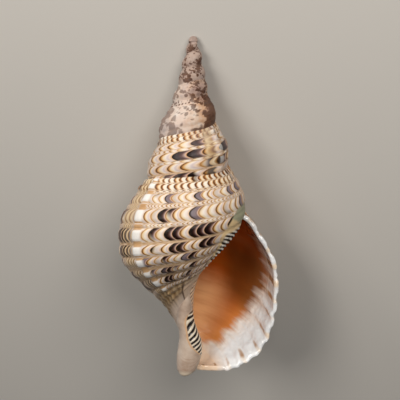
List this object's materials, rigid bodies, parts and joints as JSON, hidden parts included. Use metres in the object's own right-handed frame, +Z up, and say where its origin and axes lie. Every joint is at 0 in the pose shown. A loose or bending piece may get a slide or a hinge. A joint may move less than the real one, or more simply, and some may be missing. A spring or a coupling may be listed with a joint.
{
  "type": "triton shell",
  "caption": "Large triton seashell lying mouth up: tall worn spire, big rounded last whorl with flat spiral cords, wide mouth with a scalloped outer lip and a toothed inner lip.",
  "frame": {"origin": "on the surface that the shell lies on, below the middle of its bounding box", "axes": "+Z up, out of the mouth; +Y towards the spire's tip, square to the coiling axis seen from above; +X towards the outer lip"},
  "size_m": [0.174, 0.3296, 0.136],
  "materials": {
    "shell": "cream shell with brown crescent marks, satin outside, glossy orange inside the mouth"
  },
  "bodies": {
    "root": {"shell": "shell"}
  },
  "joints": []
}
